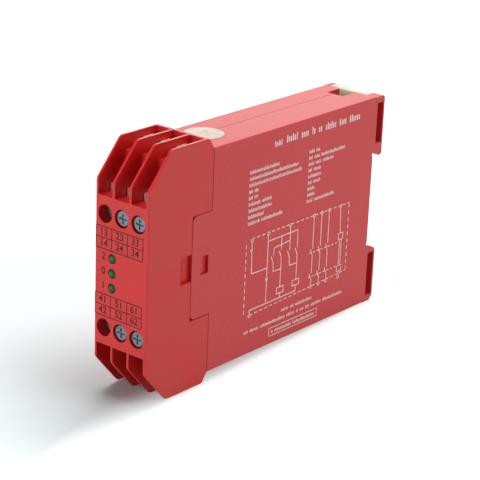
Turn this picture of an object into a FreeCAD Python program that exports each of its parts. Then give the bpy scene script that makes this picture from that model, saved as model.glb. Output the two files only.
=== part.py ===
import FreeCAD, Part
import math
import os
import Sketcher

# Safety relay module, 22.5 mm wide, for a 35 mm mounting rail. Millimetres.
#
# Row frame: origin at the middle of the rail, on the flat face that seats on it. +Y points out of the
# back, +Z up, +X to the right as seen from the terminals. The pieces are drawn in case coordinates, whose
# origin is on the front face, half way up and half way across, and each body's Placement carries it over.

Vector = FreeCAD.Vector

doc = FreeCAD.newDocument("safety_relay")

SIZES = {
    # the case as a whole
    "case_width": 22.5,
    "case_height": 77.0,
    "seat_depth": 115.8,
    "hook_depth": 5.2,
    "rail_above_middle": 0.9,
    "rail_width": 35.0,
    "rail_play": 0.2,
    "shell_wall": 1.5,
    "case_edge_round": 0.4,
    "seam_offset": 1.9,
    "seam_break": 0.2,
    "rear_set_back": 0.3,
    "land_clear": 0.1,
    # the hood over the terminals
    "hood_overhang": 3.5,
    "hood_depth": 29.7,
    "hood_slope": 2.4,
    "hood_chamfer_depth": 10.2,
    "hood_chamfer_drop": 11.7,
    "hood_wall": 2.35,
    "plate_thick": 1.8,
    "hood_corner_round": 2.5,
    "hood_edge_round": 0.5,
    "hood_seam": 0.25,
    # slots and terminal tiers
    "outer_wall": 1.05,
    "rib_thick": 0.9,
    "inner_floor_drop": 4.9,
    "inner_wall_face": 11.7,
    "slot_rear_wall": 3.5,
    "block_rear_room": 2.5,
    "block_below_screw": 4.8,
    "tier_rise": 12.1,
    "tier_step": 14.4,
    "hole_margin": 0.1,
    # terminal: cage, wire clamp and screw
    "cage_face": 5.3,
    "cage_side_room": 0.3,
    "cage_length": 6.6,
    "cage_sheet": 0.8,
    "cage_below": 2.6,
    "cage_above": 5.7,
    "cage_ear_rise": 8.4,
    "cage_ear_length": 4.1,
    "cage_room": 0.1,
    "tail_width": 2.0,
    "tail_past_hood": 0.3,
    "clamp_sheet": 0.8,
    "clamp_gap": 0.1,
    "clamp_margin": 0.3,
    "head_thick": 1.4,
    "head_side_room": 0.35,
    "head_bevel": 0.25,
    "shank_width": 2.9,
    "bore_width": 3.0,
    "neck_width": 1.8,
    "neck_bore": 1.95,
    "rivet_width": 2.6,
    "rivet_thick": 0.3,
    "rivet_slack": 0.05,
    "clamp_travel": 3.2,
    "drive_width": 0.6,
    "drive_length": 3.2,
    "drive_depth": 0.5,
    # indicator lamps
    "lamp_offset": 3.8,
    "lamp_pitch": 4.95,
    "lamp_width": 3.0,
    "lamp_hole": 3.2,
    "lamp_proud": 0.7,
    "lamp_length": 5.3,
    "lamp_rim_width": 3.8,
    "lamp_rim_thick": 1.0,
    "lead_width": 0.5,
    "lead_pitch": 2.54,
    # side tongues that snap over the hood
    "tongue_reach": 9.2,
    "tongue_height": 35.2,
    "tongue_thick": 0.8,
    "tongue_round": 2.0,
    "window_reach": 4.7,
    "window_depth": 3.7,
    "window_height": 6.3,
    "lug_depth": 2.3,
    "lug_flat": 0.9,
    "lug_play": 0.3,
    "pry_ramp": 5.5,
    "pry_flat": 2.8,
    "pry_height": 9.3,
    "pry_rise": 0.55,
    "pry_depth": 1.2,
    "spigot_reach": 2.1,
    "spigot_wall": 1.2,
    "frame_depth": 1.45,
    "fit_gap": 0.1,
    # rail hooks
    "right_cheek": 4.05,
    "left_cheek": 1.45,
    "cheek_root": 0.5,
    "lip_overlap": 1.7,
    "lip_root": 1.1,
    "lip_length": 1.8,
    "lip_tip": 0.6,
    "hook_corner": 0.8,
    "foot_corner": 1.6,
    "snap_slope_drop": 1.4,
    "snap_slope_back": 0.9,
    "snap_end_drop": 2.6,
    "cheek_pocket_depth": 2.6,
    "cheek_skin": 2.3,
    "cheek_rear_skin": 0.7,
    "cheek_rail_skin": 3.0,
    # latch and its spring
    "latch_offset": 1.15,
    "latch_well_depth": 7.6,
    "latch_well_width": 6.9,
    "stem_width": 6.3,
    "stem_clear": 0.4,
    "stem_thick": 3.7,
    "bridge_height": 5.5,
    "bridge_above_rail": 2.5,
    "head_above_bridge": 0.1,
    "head_below_roof": 0.05,
    "head_front_gap": 0.3,
    "head_rear_gap": 0.2,
    "head_skin": 1.4,
    "head_rib": 1.2,
    "latch_travel": 3.0,
    "nose_width": 11.6,
    "nose_height": 6.8,
    "nose_hook": 1.3,
    "nose_hook_gap": 1.25,
    "nose_hook_back": 2.2,
    "nose_tip_back": 0.9,
    "nose_tip_drop": 2.4,
    "nose_foot_back": 3.0,
    "guide_depth": 3.2,
    "guide_height": 24.0,
    "spring_length": 7.0,
    "spring_width": 4.2,
    "spring_wire": 0.5,
    "spring_turns": 4.0,
    "peg_width": 2.3,
    "peg_length": 2.4,
    "latch_play": 0.2,
    # boards and what they carry
    "board_thick": 1.6,
    "board_gap": 0.95,
    "board_edge_room": 0.7,
    "board_rear_room": 12.3,
    "ledge_height": 2.2,
    "ledge_margin": 2.0,
    "front_board_gap": 0.15,
    "front_board_side_room": 0.3,
    "front_board_end_room": 0.5,
    "solder_room": 0.15,
    "header_length": 22.0,
    "header_clear": 0.2,
    "header_depth": 3.5,
    "part_clear": 1.35,
    "relay_length_share": 0.555,
    "relay_height_share": 0.4,
    "relay_spread_share": 0.237,
    "relay_rear_room": 2.0,
    "relay_round": 1.0,
    "capacitor_width": 10.0,
    "capacitor_behind": 6.0,
    "capacitor_below_edge": 9.3,
    "can_edge": 0.5,
    "crimp_start": 1.6,
    "crimp_width": 0.8,
    "crimp_depth": 0.5,
    "fuse_width": 8.0,
    "fuse_thick": 3.0,
    "fuse_behind": 13.5,
    "fuse_below_edge": 5.2,
    "chip_length": 19.5,
    "chip_width": 6.4,
    "chip_thick": 3.3,
    "chip_draft": 0.3,
    "chip_standoff": 0.5,
    "chip_behind": 12.5,
    "chip_spread": 10.5,
    "pin_pitch": 2.54,
    "pin_width": 0.5,
    "pin_sheet": 0.25,
    "pin_root": 0.4,
    "pin_reach": 0.7,
    "pin_start": 0.6,
    "resistor_width": 2.4,
    "resistor_length": 6.3,
    "resistor_behind": 2.5,
    "resistor_pitch": 4.0,
    "resistor_cap": 1.2,
    "resistor_waist": 0.18,
    "seal_width": 13.4,
    "seal_thick": 0.12,
    "seal_behind_hood": 9.2,
    "seal_offset": 1.3,
}

COLUMNS = {"left": -1, "middle": 0, "right": 1}
ROWS = {"top": 1, "bottom": -1}
TIERS = {"outer": 0, "inner": 1}
LEGS_IN_ROW = 8
RESISTOR_COUNT = 5

# how far a cut runs past the face it starts from, and how far a joined block sinks into its neighbour
OVERRUN = 1.0
MERGE = 0.2


class Size:
    """A length with the sheet expression that gives it, so that sums of sizes stay bound to the sheet."""

    def __init__(self, value, text):
        self.value = float(value)
        self.text = text

    def __add__(self, other):
        other = as_size(other)
        return Size(self.value + other.value, f"({self.text} + {other.text})")

    def __sub__(self, other):
        other = as_size(other)
        return Size(self.value - other.value, f"({self.text} - {other.text})")

    def __mul__(self, factor):
        factor = as_size(factor)
        return Size(self.value * factor.value, f"({self.text} * {factor.text})")

    def __truediv__(self, factor):
        factor = as_size(factor)
        return Size(self.value / factor.value, f"({self.text} / {factor.text})")

    def __neg__(self):
        return Size(-self.value, f"(-1 * {self.text})")


def as_size(value):
    """A plain number as a Size."""
    if isinstance(value, Size):
        return value
    return Size(value, f"{value:g}" if value >= 0 else f"(-1 * {-value:g})")


def make_sheet():
    """The spreadsheet with one aliased cell for each driving size."""
    sheet = doc.addObject("Spreadsheet::Sheet", "Sizes")
    for row, (name, value) in enumerate(SIZES.items(), start=1):
        sheet.set(f"A{row}", name)
        sheet.set(f"B{row}", f"{value:g}")
        sheet.setAlias(f"B{row}", name)
    doc.recompute()
    return sheet


def size(name):
    """The named cell of the sheet."""
    return Size(sheet.get(name), f"Sizes.{name}")


# ---------------------------------------------------------------- helpers

def new_body(label):
    """An empty body whose Placement carries case coordinates into the row frame."""
    body = doc.addObject("PartDesign::Body", label)
    body.Label = label
    body.setExpression("Placement.Base.y", (-size("seat_depth")).text)
    body.setExpression("Placement.Base.z", (-size("rail_above_middle")).text)
    return body


def origin_part(body, role):
    """The body's own origin plane or axis with this role."""
    return next(item for item in body.Origin.OriginFeatures if item.Role == role)


def new_sketch(body, role, name, offset=None):
    """An empty sketch on one of the body's origin planes, moved along that plane's normal by offset."""
    sketch = body.newObject("Sketcher::SketchObject", name)
    sketch.AttachmentSupport = [(origin_part(body, role), "")]
    sketch.MapMode = "FlatFace"
    if offset is not None:
        sketch.setExpression("AttachmentOffset.Base.z", offset.text)
    return sketch


def hold(sketch, kind, geometry, point, value):
    """A dimension of the sketch that follows the sheet."""
    value = as_size(value)
    if kind == "Radius":
        number = sketch.addConstraint(Sketcher.Constraint(kind, geometry, value.value))
    else:
        number = sketch.addConstraint(Sketcher.Constraint(kind, geometry, point, value.value))
    sketch.setExpression(f"Constraints[{number}]", value.text)


def outline(sketch, corners):
    """A closed outline of straight edges through the corners, each a pair of sizes."""
    corners = [(as_size(across), as_size(up)) for across, up in corners]
    first = sketch.GeometryCount
    count = len(corners)
    for place in range(count):
        start = corners[place]
        end = corners[(place + 1) % count]
        sketch.addGeometry(Part.LineSegment(Vector(start[0].value, start[1].value, 0),
                                            Vector(end[0].value, end[1].value, 0)))
    for place in range(count):
        following = first + (place + 1) % count
        sketch.addConstraint(Sketcher.Constraint("Coincident", first + place, 2, following, 1))
    for place, (across, up) in enumerate(corners):
        hold(sketch, "DistanceX", first + place, 1, across)
        hold(sketch, "DistanceY", first + place, 1, up)


def rectangle(sketch, left, right, low, high):
    """A closed rectangle between the given sizes."""
    outline(sketch, [(left, low), (right, low), (right, high), (left, high)])


def circle(sketch, across, up, diameter):
    """A circle at the given place."""
    across, up, radius = as_size(across), as_size(up), as_size(diameter) / 2
    number = sketch.addGeometry(Part.Circle(Vector(across.value, up.value, 0), Vector(0, 0, 1), radius.value))
    hold(sketch, "DistanceX", number, 3, across)
    hold(sketch, "DistanceY", number, 3, up)
    hold(sketch, "Radius", number, 0, radius)


def pad(body, sketch, length, middle=False, back=False):
    """The sketch pushed out into solid: both ways alike if middle, against its normal if back."""
    feature = body.newObject("PartDesign::Pad", f"{sketch.Name}_pad")
    feature.Profile = sketch
    feature.setExpression("Length", as_size(length).text)
    feature.Midplane = middle
    feature.Reversed = back
    finish_feature(body, feature, adds=True)
    return feature


def pocket(body, sketch, length, middle=False, back=False):
    """The sketch pushed into the solid as a cut, along the sketch's normal unless back or middle."""
    feature = body.newObject("PartDesign::Pocket", f"{sketch.Name}_pocket")
    feature.Profile = sketch
    feature.setExpression("Length", as_size(length).text)
    feature.Midplane = middle
    feature.Reversed = not back
    finish_feature(body, feature, adds=False)
    return feature


def volume_of(feature):
    """The feature's volume, or nothing where it has no solid yet."""
    return feature.Shape.Volume if feature is not None and not feature.Shape.isNull() else 0.0


def finish_feature(body, feature, adds):
    """Rebuilds, and stops where the feature failed or left the body's volume as it was."""
    before = volume_of(feature.BaseFeature)
    body.Tip = feature
    doc.recompute()
    change = volume_of(feature) - before
    if not adds:
        change = -change
    if change <= 1e-6:
        raise RuntimeError(f"{body.Label}: {feature.Name} changes nothing")


def repeat_along(body, role, features, count, length):
    """The features again at equal steps along the axis with this role, over the given length in all."""
    pattern = body.newObject("PartDesign::LinearPattern", f"{features[0].Name}_row")
    pattern.Originals = features
    pattern.Direction = (origin_part(body, role), [""])
    pattern.setExpression("Length", as_size(length).text)
    pattern.Occurrences = count
    before = volume_of(body.Tip)
    body.Tip = pattern
    doc.recompute()
    if abs(volume_of(pattern) - before) < 1e-6:
        raise RuntimeError(f"{body.Label}: {pattern.Name} changes nothing")


def round_edges(body, radius, wanted, name):
    """A fillet on the edges of the body for which wanted(edge) holds."""
    base = body.Tip
    names = [f"Edge{number}" for number, edge in enumerate(base.Shape.Edges, start=1) if wanted(edge)]
    fillet = body.newObject("PartDesign::Fillet", name)
    fillet.Base = (base, names)
    fillet.setExpression("Radius", as_size(radius).text)
    body.Tip = fillet
    doc.recompute()
    if not names or fillet.Shape.isNull() or not fillet.Shape.isValid():
        raise RuntimeError(f"{body.Label}: {name} found {len(names)} edges and failed")


def runs_along(edge, direction):
    """Whether a straight edge is parallel to the direction."""
    if not isinstance(edge.Curve, Part.Line):
        return False
    return abs(abs(edge.Curve.Direction.dot(direction)) - 1) < 1e-6


def passes(edge, depth, height, slack=0.05):
    """Whether the edge's middle lies at this depth and height of the case, to within slack."""
    middle = edge.valueAt((edge.FirstParameter + edge.LastParameter) / 2)
    return abs(middle.y - depth) < slack and abs(middle.z - height) < slack


# ---------------------------------------------------------------- values shared by several pieces

sheet = make_sheet()

half_width = size("case_width") / 2
half_height = size("case_height") / 2
half_hood = half_height + size("hood_overhang")
slot_width = (size("case_width") - size("outer_wall") * 2 - size("rib_thick") * 2) / 3
terminal_pitch = slot_width + size("rib_thick")
inner_floor = half_hood - size("inner_floor_drop")
outer_floor = inner_floor - size("tier_rise")
screw_below_floor = size("cage_above") + size("cage_room")
block_foot = outer_floor - screw_below_floor - size("block_below_screw")
block_depth = size("hood_depth") - size("block_rear_room")
cage_width = slot_width - size("cage_side_room") * 2
screw_hole = slot_width - size("hole_margin") * 2
tail_end = size("hood_depth") + size("tail_past_hood")
case_front = size("hood_depth") + size("hood_seam")
hollow_front = case_front + size("frame_depth")
tongue_front = size("hood_depth") - size("tongue_reach")
window_front = size("hood_depth") - size("window_reach")
seam = -size("seam_offset")
rear_end = size("seat_depth") + size("hook_depth")
rail_half = (size("rail_width") + size("rail_play")) / 2
rail_top = size("rail_above_middle") + rail_half
rail_bottom = size("rail_above_middle") - rail_half
roof = half_height - size("shell_wall")
cavity_half_width = half_width - size("hood_wall")
cavity_half_height = half_height - size("spigot_wall") * 2 - size("fit_gap")
lip_high = cavity_half_height - size("fit_gap")
lip_low = lip_high - size("spigot_wall")
latch_middle = -size("latch_offset")
stem_front = size("seat_depth") - size("shell_wall") - size("stem_clear") - size("stem_thick")
stem_foot = roof - size("spring_length")
bridge_base = rail_top + size("latch_travel") + size("bridge_above_rail")
board_left = size("shell_wall") + size("board_gap") - half_width
board_face = board_left + size("board_thick")
board_front = hollow_front + size("fit_gap")
board_rear = size("seat_depth") - size("board_rear_room")
board_half = roof - size("board_edge_room")
part_height = half_width - size("shell_wall") - size("part_clear") - board_face
front_board_face = block_depth + size("front_board_gap")


def terminal_place(column, row, tier):
    """Across, cage face depth and screw height of one terminal, in case coordinates."""
    across = terminal_pitch * column
    depth = size("cage_face") + size("tier_step") * TIERS[tier]
    height = (outer_floor + size("tier_rise") * TIERS[tier] - screw_below_floor) * ROWS[row]
    return across, depth, height


# ---------------------------------------------------------------- hood

def hood_profile(body):
    """The side outline: flat face, long chamfers to the overhangs, and short slopes back to the case."""
    sketch = new_sketch(body, "YZ_Plane", "hood_outline")
    upper = [(0, half_hood - size("hood_chamfer_drop")), (size("hood_chamfer_depth"), half_hood),
             (size("hood_depth") - size("hood_slope"), half_hood), (size("hood_depth"), half_height)]
    lower = [(depth, -as_size(height)) for depth, height in reversed(upper)]
    outline(sketch, upper + lower)
    pad(body, sketch, size("case_width"), middle=True)


def round_hood(body):
    """Rounds where the chamfers meet the face and the overhangs, then a small break round both sides."""
    across = Vector(1, 0, 0)
    chamfer = size("hood_chamfer_depth").value
    face = (half_hood - size("hood_chamfer_drop")).value
    round_edges(body, size("hood_corner_round"), lambda edge: runs_along(edge, across) and (
        passes(edge, chamfer, half_hood.value) or passes(edge, chamfer, -half_hood.value)
        or passes(edge, 0, face) or passes(edge, 0, -face)), "hood_corners")
    side = half_width.value
    flat_end = (size("hood_depth") - size("hood_slope")).value

    def on_side(edge):
        middle = edge.valueAt((edge.FirstParameter + edge.LastParameter) / 2)
        in_plane = all(abs(abs(vertex.X) - side) < 1e-6 for vertex in edge.Vertexes)
        return in_plane and not runs_along(edge, across) and middle.y < flat_end
    round_edges(body, size("hood_edge_round"), on_side, "hood_sides")


def cut_slots(body):
    """Three stepped wire slots at the top and three at the bottom, and the rooms for the cages below their
    floors. The rooms run through to the rear, where the cages are pushed in."""
    slots = new_sketch(body, "YZ_Plane", "wire_slots", -terminal_pitch)
    rooms = new_sketch(body, "YZ_Plane", "cage_rooms", -terminal_pitch)
    beyond = half_hood + OVERRUN
    slot_end = size("hood_depth") - size("slot_rear_wall")
    wall_face = size("inner_wall_face")
    room = size("cage_room")
    for row in ROWS.values():
        outline(slots, [(-OVERRUN, beyond * row), (-OVERRUN, outer_floor * row),
                        (wall_face, outer_floor * row), (wall_face, inner_floor * row),
                        (slot_end, inner_floor * row), (slot_end, beyond * row)])
        for tier in TIERS:
            across, depth, height = terminal_place(0, "top", tier)
            low = height - size("cage_below") - room
            high = height + size("cage_above") + room
            rectangle(rooms, depth - room, block_depth + OVERRUN, low * row, high * row)
    cut = [pocket(body, slots, slot_width, middle=True)]
    cut.append(pocket(body, rooms, cage_width + room * 2, middle=True))
    repeat_along(body, "X_Axis", cut, len(COLUMNS), terminal_pitch * 2)


def bore_screw_holes(body):
    """Round holes through which the screws are reached, one pair for each tier."""
    holes = []
    for tier in TIERS:
        across, depth, height = terminal_place(-1, "top", tier)
        sketch = new_sketch(body, "XZ_Plane", f"{tier}_screw_holes")
        for row in ROWS.values():
            circle(sketch, across, height * row, screw_hole)
        holes.append(pocket(body, sketch, depth, back=True))
    repeat_along(body, "X_Axis", holes, len(COLUMNS), terminal_pitch * 2)


def hollow_hood(body):
    """The space behind the face plate and the terminal blocks, open to the rear."""
    sketch = new_sketch(body, "YZ_Plane", "hood_hollow")
    opening = size("hood_depth") + OVERRUN
    upper = [(size("plate_thick"), block_foot), (block_depth, block_foot), (block_depth, cavity_half_height),
             (opening, cavity_half_height)]
    lower = [(depth, -as_size(height)) for depth, height in reversed(upper)]
    outline(sketch, upper + lower)
    pocket(body, sketch, cavity_half_width * 2, middle=True)


def bore_lamp_holes(body):
    """Three holes in the face plate, one above the other, for the indicator lamps."""
    sketch = new_sketch(body, "XZ_Plane", "lamp_holes")
    for step in (-1, 0, 1):
        circle(sketch, -size("lamp_offset"), size("lamp_pitch") * step, size("lamp_hole"))
    pocket(body, sketch, size("plate_thick") + OVERRUN, back=True)


def seat_tongues(body):
    """Both sides are set back for the case's tongues, with a snap lug and a notch for a screwdriver."""
    seat = size("tongue_thick") + size("fit_gap")
    floor = half_width - seat
    lug_height = size("window_height") - size("lug_play") * 2
    front = window_front + size("fit_gap")
    top = half_width - size("lug_play")
    deep = half_width - size("pry_depth") - size("fit_gap")
    beyond = half_width + MERGE
    for side, sign in (("left", -1), ("right", 1)):
        notch = new_sketch(body, "YZ_Plane", f"{side}_tongue_seat", half_width * sign)
        height = size("tongue_height") / 2 + size("hood_seam")
        rectangle(notch, tongue_front, size("hood_depth") + OVERRUN, -height, height)
        pocket(body, notch, seat, back=sign > 0)
        lug = new_sketch(body, "XY_Plane", f"{side}_snap_lug", -lug_height / 2)
        outline(lug, [((floor - MERGE) * sign, front), (top * sign, front),
                      (top * sign, front + size("lug_flat")),
                      ((floor - MERGE) * sign, front + size("lug_depth"))])
        pad(body, lug, lug_height)
        pry = new_sketch(body, "XY_Plane", f"{side}_pry_notch", size("pry_rise") - size("pry_height") / 2)
        outline(pry, [(beyond * sign, tongue_front - size("pry_ramp")),
                      (deep * sign, tongue_front - size("pry_flat")),
                      (deep * sign, tongue_front + size("hood_seam")),
                      (beyond * sign, tongue_front + size("hood_seam"))])
        pocket(body, pry, size("pry_height"))


def make_hood():
    """The moulded front: face plate, terminal blocks, wire slots and overhangs in one piece."""
    body = new_body("front_hood")
    hood_profile(body)
    round_hood(body)
    hollow_hood(body)
    cut_slots(body)
    bore_screw_holes(body)
    bore_lamp_holes(body)
    seat_tongues(body)
    return body


# ---------------------------------------------------------------- case halves

def wall_outline(sketch):
    """The case from the side, its rear wall set back except for the land that lies on the rail."""
    seat = size("seat_depth")
    back = seat - size("rear_set_back")
    high = rail_top - size("lip_overlap") - size("land_clear")
    low = rail_bottom + size("nose_hook") + size("land_clear")
    outline(sketch, [(case_front, -half_height), (back, -half_height), (back, low), (seat, low),
                     (seat, high), (back, high), (back, half_height), (case_front, half_height)])


def hook_outline(sketch):
    """The rear ends of the hooks: undercut lip over the rail, and a slope below it to snap on over."""
    root = size("seat_depth") - size("cheek_root")
    notch = size("seat_depth") + size("lip_root")
    lip = rail_top - size("lip_overlap")
    corner = size("hook_corner")
    tip = size("lip_tip")
    outline(sketch, [(root, half_height), (rear_end - corner, half_height), (rear_end, half_height - corner),
                     (rear_end, lip + tip), (rear_end - tip, lip), (rear_end - size("lip_length"), lip),
                     (notch, rail_top), (root, rail_top)])
    outline(sketch, [(root, rail_bottom), (notch, rail_bottom),
                     (rear_end - size("snap_slope_back"), rail_bottom - size("snap_slope_drop")),
                     (rear_end, rail_bottom - size("snap_end_drop")),
                     (rear_end, size("foot_corner") - half_height),
                     (rear_end - size("foot_corner"), -half_height), (root, -half_height)])


def round_half(body, outer):
    """A round on the half's long outer edges, and a smaller one where the halves meet, so the seam shows."""
    height = half_height.value

    def along_edge(edge, side):
        middle = edge.valueAt((edge.FirstParameter + edge.LastParameter) / 2)
        at_height = abs(abs(middle.z) - height) < 1e-6
        return runs_along(edge, Vector(0, 1, 0)) and at_height and abs(middle.x - side.value) < 1e-6
    round_edges(body, size("case_edge_round"), lambda edge: along_edge(edge, outer), "case_edges")
    round_edges(body, size("seam_break"), lambda edge: along_edge(edge, seam), "seam_breaks")


def make_case_half(label, sign, cheek):
    """One moulded half of the case, from the seam out to its side; sign is +1 for the right half."""
    body = new_body(label)
    outer = half_width * sign
    wall = size("shell_wall")
    toward_seam = sign > 0

    box = new_sketch(body, "YZ_Plane", "case_outline", outer)
    wall_outline(box)
    pad(body, box, (outer - seam) * sign, back=toward_seam)
    round_half(body, outer)

    lips = new_sketch(body, "YZ_Plane", "lip_outline", seam)
    spigot_front = size("hood_depth") - size("spigot_reach")
    rectangle(lips, spigot_front, case_front + MERGE, -lip_high, lip_high)
    lip_side = cavity_half_width - size("fit_gap")
    pad(body, lips, lip_side - seam * sign, back=not toward_seam)

    inside = (outer - seam) * sign - wall
    mouth = new_sketch(body, "YZ_Plane", "mouth_hollow", seam)
    rectangle(mouth, spigot_front - OVERRUN, hollow_front, -lip_low, lip_low)
    pocket(body, mouth, inside, back=not toward_seam)

    hollow = new_sketch(body, "YZ_Plane", "case_hollow", seam)
    rectangle(hollow, hollow_front, size("seat_depth") - wall, -roof, roof)
    pocket(body, hollow, inside, back=not toward_seam)

    hooks = new_sketch(body, "YZ_Plane", "hook_cheeks", outer)
    hook_outline(hooks)
    pad(body, hooks, cheek, back=toward_seam)

    add_tongue(body, outer, toward_seam)
    cut_latch_openings(body)
    if sign > 0:
        core_out_cheek(body)
    else:
        add_board_ledges(body)
    add_stem_guide(body, sign)
    return body


def add_tongue(body, outer, toward_seam):
    """The flat tongue over the side of the hood, with the window for the hood's snap lug."""
    front = tongue_front + size("hood_seam")
    height = size("tongue_height") / 2
    tongue = new_sketch(body, "YZ_Plane", "side_tongue", outer)
    rectangle(tongue, front, hollow_front, -height, height)
    pad(body, tongue, size("tongue_thick"), back=toward_seam)

    def at_corner(edge):
        at_height = passes(edge, front.value, height.value) or passes(edge, front.value, -height.value)
        return runs_along(edge, Vector(1, 0, 0)) and at_height
    round_edges(body, size("tongue_round"), at_corner, "tongue_corners")
    window = new_sketch(body, "YZ_Plane", "snap_window", outer)
    half_window = size("window_height") / 2
    rectangle(window, window_front, window_front + size("window_depth"), -half_window, half_window)
    pocket(body, window, size("tongue_thick") + OVERRUN, back=toward_seam)


def cut_latch_openings(body):
    """The well in the roof, the gap in the rear wall for the latch's bridge, and the one for its nose."""
    play = size("latch_play")
    seat = size("seat_depth")
    wall = size("shell_wall")
    well = new_sketch(body, "XY_Plane", "latch_well", roof - OVERRUN)
    well_half = size("latch_well_width") / 2
    rectangle(well, latch_middle - well_half, latch_middle + well_half, seat - size("latch_well_depth"),
              seat + OVERRUN)
    pocket(body, well, wall + OVERRUN * 2)
    gaps = new_sketch(body, "XZ_Plane", "latch_gaps", -(seat - wall - OVERRUN))
    stem_half = size("stem_width") / 2 + play
    bridge_low = bridge_base - size("latch_travel") - play
    bridge_high = bridge_base + size("bridge_height") + play
    rectangle(gaps, latch_middle - stem_half, latch_middle + stem_half, bridge_low, bridge_high)
    nose_half = size("nose_width") / 2 + play
    nose_high = rail_bottom - play
    nose_low = nose_high - size("nose_height") - size("latch_travel") - play
    rectangle(gaps, latch_middle - nose_half, latch_middle + nose_half, nose_low, nose_high)
    pocket(body, gaps, wall + OVERRUN * 2, back=True)


def core_out_cheek(body):
    """Two pockets that keep the thick right-hand cheeks from sinking in the mould."""
    sketch = new_sketch(body, "YZ_Plane", "cheek_pockets", half_width)
    front = size("seat_depth") + size("lip_root")
    rear = rear_end - size("cheek_rear_skin")
    rail_skin = size("cheek_rail_skin")
    end = half_height - size("cheek_skin")
    rectangle(sketch, front, rear, rail_top + rail_skin, end)
    rectangle(sketch, front, rear, -end, rail_bottom - rail_skin)
    pocket(body, sketch, size("cheek_pocket_depth"), back=True)


def add_board_ledges(body):
    """Two long ledges inside the left half that the main board lies on."""
    inner_face = size("shell_wall") - half_width
    ledges = new_sketch(body, "YZ_Plane", "board_ledges", inner_face - MERGE)
    front = board_front + size("ledge_margin")
    rear = board_rear - size("ledge_margin")
    low = roof - size("ledge_height")
    rectangle(ledges, front, rear, low, roof + MERGE)
    rectangle(ledges, front, rear, -(roof + MERGE), -low)
    pad(body, ledges, size("board_gap") + MERGE)


def add_stem_guide(body, sign):
    """A thick rib on the rear wall, beside the latch's stem."""
    inner_face = (half_width - size("shell_wall")) * sign
    start = latch_middle + (size("stem_width") / 2 + size("latch_play")) * sign
    guide = new_sketch(body, "YZ_Plane", "stem_guide", start)
    rear = size("seat_depth") - size("shell_wall")
    half = size("guide_height") / 2
    rectangle(guide, rear - size("guide_depth"), rear + MERGE, -half, half)
    pad(body, guide, (inner_face - start) * sign + MERGE, back=sign < 0)


def make_case():
    """Both halves, joined at a seam a little left of the middle."""
    right = make_case_half("case_right", 1, size("right_cheek"))
    left = make_case_half("case_left", -1, size("left_cheek"))
    return right, left


# ---------------------------------------------------------------- rail latch

def make_latch():
    """The moulded latch: head between the cheeks, bridge through the wall, stem, and sprung nose below."""
    body = new_body("rail_latch")
    stem_rear = stem_front + size("stem_thick")
    bridge_top = bridge_base + size("bridge_height")
    head_front = size("seat_depth") + size("head_front_gap")
    bridge_end = head_front + MERGE
    stem = new_sketch(body, "YZ_Plane", "latch_stem", latch_middle)
    outline(stem, [(stem_front, -stem_foot), (stem_rear, -stem_foot), (stem_rear, bridge_base),
                   (bridge_end, bridge_base), (bridge_end, bridge_top), (stem_front, bridge_top)])
    pad(body, stem, size("stem_width"), middle=True)

    head = new_sketch(body, "XZ_Plane", "latch_head", -head_front)
    left = size("left_cheek") + size("latch_play") - half_width
    right = half_width - size("right_cheek") - size("latch_play")
    head_top = half_height - size("head_below_roof")
    head_low = bridge_base + size("head_above_bridge")
    rectangle(head, left, right, head_low, head_top)
    head_thick = size("hook_depth") - size("head_front_gap") - size("head_rear_gap")
    pad(body, head, head_thick, back=True)
    cores = new_sketch(body, "XZ_Plane", "head_cores", -(head_front + head_thick))
    half_rib = size("head_rib") / 2
    skin = size("head_skin")
    rectangle(cores, left + skin, latch_middle - half_rib, head_low + skin, head_top - skin)
    rectangle(cores, latch_middle + half_rib, right - skin, head_low + skin, head_top - skin)
    pocket(body, cores, head_thick - skin)

    nose = new_sketch(body, "YZ_Plane", "latch_nose", latch_middle)
    nose_top = rail_bottom - size("latch_play")
    nose_low = nose_top - size("nose_height")
    hook_top = rail_bottom + size("nose_hook")
    hook_front = size("seat_depth") + size("nose_hook_gap")
    outline(nose, [(stem_front, nose_low), (rear_end - size("nose_foot_back"), nose_low),
                   (rear_end - size("nose_tip_back"), nose_top - size("nose_tip_drop")),
                   (rear_end - size("nose_hook_back"), hook_top), (hook_front, hook_top),
                   (hook_front, nose_top), (stem_front, nose_top)])
    pad(body, nose, size("nose_width"), middle=True)

    peg = new_sketch(body, "XY_Plane", "spring_peg", -(stem_foot + size("peg_length")))
    circle(peg, latch_middle, stem_front + size("stem_thick") / 2, size("peg_width"))
    pad(body, peg, size("peg_length") + MERGE)
    return body


def make_latch_spring():
    """The coil spring that holds the latch up, between the floor of the case and the stem's foot."""
    body = new_body("latch_spring")
    wire = size("spring_wire")
    body.setExpression("Placement.Base.x", latch_middle.text)
    depth = stem_front + size("stem_thick") / 2 - size("seat_depth")
    body.setExpression("Placement.Base.y", depth.text)
    body.setExpression("Placement.Base.z", (wire / 2 - roof - size("rail_above_middle")).text)
    section = new_sketch(body, "XZ_Plane", "wire_section")
    outer = size("spring_width") / 2
    rectangle(section, outer - wire, outer, -wire / 2, wire / 2)
    coil = body.newObject("PartDesign::AdditiveHelix", "spring_coil")
    coil.Profile = section
    coil.ReferenceAxis = (section, ["V_Axis"])
    coil.Mode = "height-turns-angle"
    coil.setExpression("Height", (size("spring_length") - wire).text)
    coil.setExpression("Turns", size("spring_turns").text)
    finish_feature(body, coil, adds=True)
    return body


# ---------------------------------------------------------------- terminals

def place_terminal(body, column, row, tier, inward=None):
    """Puts a body whose origin is the middle of its cage's face at one terminal."""
    across, depth, height = terminal_place(COLUMNS[column], row, tier)
    if inward is not None:
        depth = depth + inward
    body.setExpression("Placement.Base.x", across.text)
    body.setExpression("Placement.Base.y", (depth - size("seat_depth")).text)
    body.setExpression("Placement.Base.z", (height - size("rail_above_middle")).text)


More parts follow.
